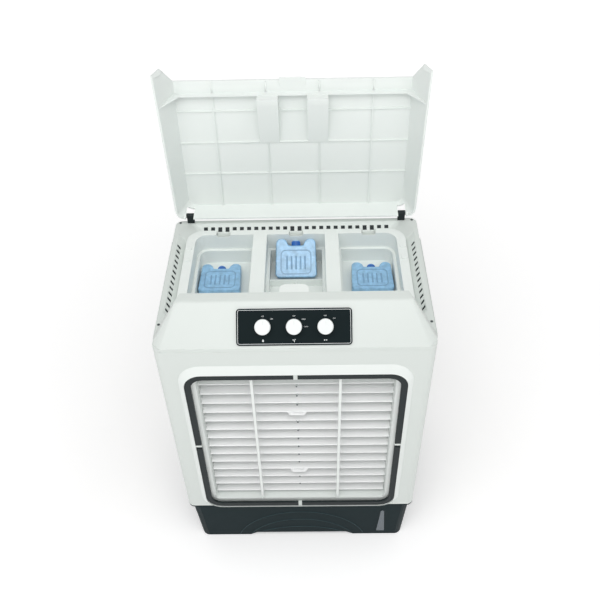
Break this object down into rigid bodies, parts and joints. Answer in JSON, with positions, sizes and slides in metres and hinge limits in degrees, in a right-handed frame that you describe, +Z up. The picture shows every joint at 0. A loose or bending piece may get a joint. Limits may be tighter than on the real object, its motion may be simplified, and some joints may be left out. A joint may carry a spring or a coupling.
{
  "type": "evaporative cooler",
  "caption": "Floor-standing room evaporative cooler: white cabinet on a dark water tank, tilting louvre grille, swing vanes, fan, wet pads, ice tray and hinged lid.",
  "frame": {"origin": "centre of the tank's underside, on the floor", "axes": "+Z up, the louvre grille faces -Y, +X to the right of someone facing the grille"},
  "size_m": [0.676, 0.5406, 1.3298],
  "materials": {
    "white_abs": "satin moulded",
    "inner_plastic": "satin moulded",
    "tank_charcoal": "fine texture",
    "black_plastic": "semi-gloss",
    "rubber": "matt",
    "motor_metal": "cast",
    "ice_pack_plastic": "frosted",
    "pad_fibre": "fibrous",
    "level_lens": "translucent"
  },
  "bodies": {
    "housing": {"water_tank": "tank_charcoal", "level_window": "level_lens", "cabinet": "white_abs", "cord_gland": "rubber", "grille_border": "black_plastic", "grille_frame": "white_abs", "swing_motor": "motor_metal", "fan_shroud": "inner_plastic", "fan_motor": "motor_metal", "water_distributor": "inner_plastic", "water_pump": "black_plastic", "riser_hose": "rubber", "top_deck": "white_abs", "control_console": "white_abs", "control_panel": "black_plastic", "switch_block": "black_plastic", "ice_tray": "white_abs", "ice_pack_left": "ice_pack_plastic", "ice_pack_centre": "ice_pack_plastic", "ice_pack_right": "ice_pack_plastic", "lid_hinge_left": "black_plastic", "lid_hinge_right": "black_plastic"},
    "lid": {"lid": "white_abs"},
    "drain_plug": {"drain_plug": "tank_charcoal"},
    "fan_rotor": {"fan_rotor": "inner_plastic"},
    "knob_pump": {"knob_pump": "white_abs"},
    "knob_fan": {"knob_fan": "white_abs"},
    "knob_swing": {"knob_swing": "white_abs"},
    "louvre_upper_1": {"louvre_upper_1": "white_abs"},
    "louvre_upper_2": {"louvre_upper_2": "white_abs"},
    "louvre_upper_3": {"louvre_upper_3": "white_abs"},
    "louvre_upper_4": {"louvre_upper_4": "white_abs"},
    "louvre_upper_5": {"louvre_upper_5": "white_abs"},
    "louvre_upper_6": {"louvre_upper_6": "white_abs"},
    "louvre_upper_7": {"louvre_upper_7": "white_abs"},
    "louvre_link_upper": {"louvre_link_upper": "inner_plastic"},
    "louvre_lower_1": {"louvre_lower_1": "white_abs"},
    "louvre_lower_2": {"louvre_lower_2": "white_abs"},
    "louvre_lower_3": {"louvre_lower_3": "white_abs"},
    "louvre_lower_4": {"louvre_lower_4": "white_abs"},
    "louvre_lower_5": {"louvre_lower_5": "white_abs"},
    "louvre_lower_6": {"louvre_lower_6": "white_abs"},
    "louvre_lower_7": {"louvre_lower_7": "white_abs"},
    "louvre_link_lower": {"louvre_link_lower": "inner_plastic"},
    "swing_vane_1": {"swing_vane_1": "white_abs"},
    "swing_vane_2": {"swing_vane_2": "white_abs"},
    "swing_vane_3": {"swing_vane_3": "white_abs"},
    "swing_vane_4": {"swing_vane_4": "white_abs"},
    "swing_vane_5": {"swing_vane_5": "white_abs"},
    "swing_vane_6": {"swing_vane_6": "white_abs"},
    "swing_vane_7": {"swing_vane_7": "white_abs"},
    "swing_vane_8": {"swing_vane_8": "white_abs"},
    "swing_link": {"swing_link": "inner_plastic"},
    "swing_crank": {"swing_crank": "inner_plastic"},
    "pad_left": {"pad_panel_left": "white_abs", "cooling_pad_left": "pad_fibre"},
    "pad_right": {"pad_panel_right": "white_abs", "cooling_pad_right": "pad_fibre"},
    "pad_rear": {"pad_panel_rear": "white_abs", "cooling_pad_rear": "pad_fibre"}
  },
  "joints": [
    {"name": "lid_hinge", "type": "hinge", "parent": "housing", "child": "lid", "pos_m": [0, 0.2355, 0.908], "axis": [1, 0, 0], "range_deg": [0, 90]},
    {"name": "fan_spin", "type": "hinge", "parent": "housing", "child": "fan_rotor", "pos_m": [0, -0.0625, 0.5], "axis": [0, 1, 0], "continuous": true},
    {"name": "knob_pump_turn", "type": "hinge", "parent": "housing", "child": "knob_pump", "pos_m": [-0.0715, -0.20528, 0.92187], "axis": [0, -0.7071, 0.7071], "range_deg": [-45, 0]},
    {"name": "knob_fan_turn", "type": "hinge", "parent": "housing", "child": "knob_fan", "pos_m": [0, -0.20528, 0.92187], "axis": [0, -0.7071, 0.7071], "range_deg": [-90, 0]},
    {"name": "knob_swing_turn", "type": "hinge", "parent": "housing", "child": "knob_swing", "pos_m": [0.0715, -0.20528, 0.92187], "axis": [0, -0.7071, 0.7071], "range_deg": [-45, 0]},
    {"name": "louvre_upper_1_tilt", "type": "hinge", "parent": "housing", "child": "louvre_upper_1", "pos_m": [0, -0.203, 0.7341], "axis": [1, 0, 0], "range_deg": [-35, 35]},
    {"name": "louvre_upper_2_tilt", "type": "hinge", "parent": "housing", "child": "louvre_upper_2", "pos_m": [0, -0.203, 0.69722], "axis": [1, 0, 0], "range_deg": [-35, 35]},
    {"name": "louvre_upper_3_tilt", "type": "hinge", "parent": "housing", "child": "louvre_upper_3", "pos_m": [0, -0.203, 0.66034], "axis": [1, 0, 0], "range_deg": [-35, 35]},
    {"name": "louvre_upper_4_tilt", "type": "hinge", "parent": "housing", "child": "louvre_upper_4", "pos_m": [0, -0.203, 0.62346], "axis": [1, 0, 0], "range_deg": [-35, 35]},
    {"name": "louvre_upper_5_tilt", "type": "hinge", "parent": "housing", "child": "louvre_upper_5", "pos_m": [0, -0.203, 0.58658], "axis": [1, 0, 0], "range_deg": [-35, 35]},
    {"name": "louvre_upper_6_tilt", "type": "hinge", "parent": "housing", "child": "louvre_upper_6", "pos_m": [0, -0.203, 0.5497], "axis": [1, 0, 0], "range_deg": [-35, 35]},
    {"name": "louvre_upper_7_tilt", "type": "hinge", "parent": "housing", "child": "louvre_upper_7", "pos_m": [0, -0.203, 0.51282], "axis": [1, 0, 0], "range_deg": [-35, 35]},
    {"name": "louvre_link_upper_pin", "type": "hinge", "parent": "louvre_upper_4", "child": "louvre_link_upper", "pos_m": [0, -0.1905, 0.62346], "axis": [1, 0, 0], "range_deg": [-35, 35]},
    {"name": "louvre_lower_1_tilt", "type": "hinge", "parent": "housing", "child": "louvre_lower_1", "pos_m": [0, -0.203, 0.47594], "axis": [1, 0, 0], "range_deg": [-35, 35]},
    {"name": "louvre_lower_2_tilt", "type": "hinge", "parent": "housing", "child": "louvre_lower_2", "pos_m": [0, -0.203, 0.43906], "axis": [1, 0, 0], "range_deg": [-35, 35]},
    {"name": "louvre_lower_3_tilt", "type": "hinge", "parent": "housing", "child": "louvre_lower_3", "pos_m": [0, -0.203, 0.40218], "axis": [1, 0, 0], "range_deg": [-35, 35]},
    {"name": "louvre_lower_4_tilt", "type": "hinge", "parent": "housing", "child": "louvre_lower_4", "pos_m": [0, -0.203, 0.3653], "axis": [1, 0, 0], "range_deg": [-35, 35]},
    {"name": "louvre_lower_5_tilt", "type": "hinge", "parent": "housing", "child": "louvre_lower_5", "pos_m": [0, -0.203, 0.32842], "axis": [1, 0, 0], "range_deg": [-35, 35]},
    {"name": "louvre_lower_6_tilt", "type": "hinge", "parent": "housing", "child": "louvre_lower_6", "pos_m": [0, -0.203, 0.29154], "axis": [1, 0, 0], "range_deg": [-35, 35]},
    {"name": "louvre_lower_7_tilt", "type": "hinge", "parent": "housing", "child": "louvre_lower_7", "pos_m": [0, -0.203, 0.25466], "axis": [1, 0, 0], "range_deg": [-35, 35]},
    {"name": "louvre_link_lower_pin", "type": "hinge", "parent": "louvre_lower_4", "child": "louvre_link_lower", "pos_m": [0, -0.1905, 0.3653], "axis": [1, 0, 0], "range_deg": [-35, 35]},
    {"name": "swing_vane_1_turn", "type": "hinge", "parent": "housing", "child": "swing_vane_1", "pos_m": [-0.175, -0.154, 0.2385], "axis": [0, 0, 1], "range_deg": [-30, 30]},
    {"name": "swing_vane_2_turn", "type": "hinge", "parent": "housing", "child": "swing_vane_2", "pos_m": [-0.125, -0.154, 0.2385], "axis": [0, 0, 1], "range_deg": [-30, 30]},
    {"name": "swing_vane_3_turn", "type": "hinge", "parent": "housing", "child": "swing_vane_3", "pos_m": [-0.075, -0.154, 0.2385], "axis": [0, 0, 1], "range_deg": [-30, 30]},
    {"name": "swing_vane_4_turn", "type": "hinge", "parent": "housing", "child": "swing_vane_4", "pos_m": [-0.025, -0.154, 0.2385], "axis": [0, 0, 1], "range_deg": [-30, 30]},
    {"name": "swing_vane_5_turn", "type": "hinge", "parent": "housing", "child": "swing_vane_5", "pos_m": [0.025, -0.154, 0.2385], "axis": [0, 0, 1], "range_deg": [-30, 30]},
    {"name": "swing_vane_6_turn", "type": "hinge", "parent": "housing", "child": "swing_vane_6", "pos_m": [0.075, -0.154, 0.2385], "axis": [0, 0, 1], "range_deg": [-30, 30]},
    {"name": "swing_vane_7_turn", "type": "hinge", "parent": "housing", "child": "swing_vane_7", "pos_m": [0.125, -0.154, 0.2385], "axis": [0, 0, 1], "range_deg": [-30, 30]},
    {"name": "swing_vane_8_turn", "type": "hinge", "parent": "housing", "child": "swing_vane_8", "pos_m": [0.175, -0.154, 0.2385], "axis": [0, 0, 1], "range_deg": [-30, 30]},
    {"name": "swing_link_pin", "type": "hinge", "parent": "swing_vane_1", "child": "swing_link", "pos_m": [-0.175, -0.138, 0.245], "axis": [0, 0, 1], "range_deg": [-30, 30]},
    {"name": "swing_crank_turn", "type": "hinge", "parent": "housing", "child": "swing_crank", "pos_m": [0.208, -0.154, 0.2385], "axis": [0, 0, 1], "range_deg": [-30, 30]},
    {"name": "pad_left_pull", "type": "slide", "parent": "housing", "child": "pad_left", "axis": [-1, 0, 0], "range_m": [0, 0.06]},
    {"name": "pad_right_pull", "type": "slide", "parent": "housing", "child": "pad_right", "axis": [1, 0, 0], "range_m": [0, 0.06]},
    {"name": "pad_rear_pull", "type": "slide", "parent": "housing", "child": "pad_rear", "axis": [0, 1, 0], "range_m": [0, 0.06]},
    {"name": "drain_plug_pull", "type": "slide", "parent": "housing", "child": "drain_plug", "axis": [0, 1, 0], "range_m": [0, 0.03]}
  ],
  "couplings": [
    {"joint": "louvre_upper_1_tilt", "follows": "louvre_upper_4_tilt", "ratio": 1},
    {"joint": "louvre_upper_2_tilt", "follows": "louvre_upper_4_tilt", "ratio": 1},
    {"joint": "louvre_upper_3_tilt", "follows": "louvre_upper_4_tilt", "ratio": 1},
    {"joint": "louvre_upper_5_tilt", "follows": "louvre_upper_4_tilt", "ratio": 1},
    {"joint": "louvre_upper_6_tilt", "follows": "louvre_upper_4_tilt", "ratio": 1},
    {"joint": "louvre_upper_7_tilt", "follows": "louvre_upper_4_tilt", "ratio": 1},
    {"joint": "louvre_link_upper_pin", "follows": "louvre_upper_4_tilt", "ratio": -1},
    {"joint": "louvre_lower_1_tilt", "follows": "louvre_lower_4_tilt", "ratio": 1},
    {"joint": "louvre_lower_2_tilt", "follows": "louvre_lower_4_tilt", "ratio": 1},
    {"joint": "louvre_lower_3_tilt", "follows": "louvre_lower_4_tilt", "ratio": 1},
    {"joint": "louvre_lower_5_tilt", "follows": "louvre_lower_4_tilt", "ratio": 1},
    {"joint": "louvre_lower_6_tilt", "follows": "louvre_lower_4_tilt", "ratio": 1},
    {"joint": "louvre_lower_7_tilt", "follows": "louvre_lower_4_tilt", "ratio": 1},
    {"joint": "louvre_link_lower_pin", "follows": "louvre_lower_4_tilt", "ratio": -1},
    {"joint": "swing_vane_2_turn", "follows": "swing_vane_1_turn", "ratio": 1},
    {"joint": "swing_vane_3_turn", "follows": "swing_vane_1_turn", "ratio": 1},
    {"joint": "swing_vane_4_turn", "follows": "swing_vane_1_turn", "ratio": 1},
    {"joint": "swing_vane_5_turn", "follows": "swing_vane_1_turn", "ratio": 1},
    {"joint": "swing_vane_6_turn", "follows": "swing_vane_1_turn", "ratio": 1},
    {"joint": "swing_vane_7_turn", "follows": "swing_vane_1_turn", "ratio": 1},
    {"joint": "swing_vane_8_turn", "follows": "swing_vane_1_turn", "ratio": 1},
    {"joint": "swing_link_pin", "follows": "swing_vane_1_turn", "ratio": -1},
    {"joint": "swing_crank_turn", "follows": "swing_vane_1_turn", "ratio": 1}
  ]
}
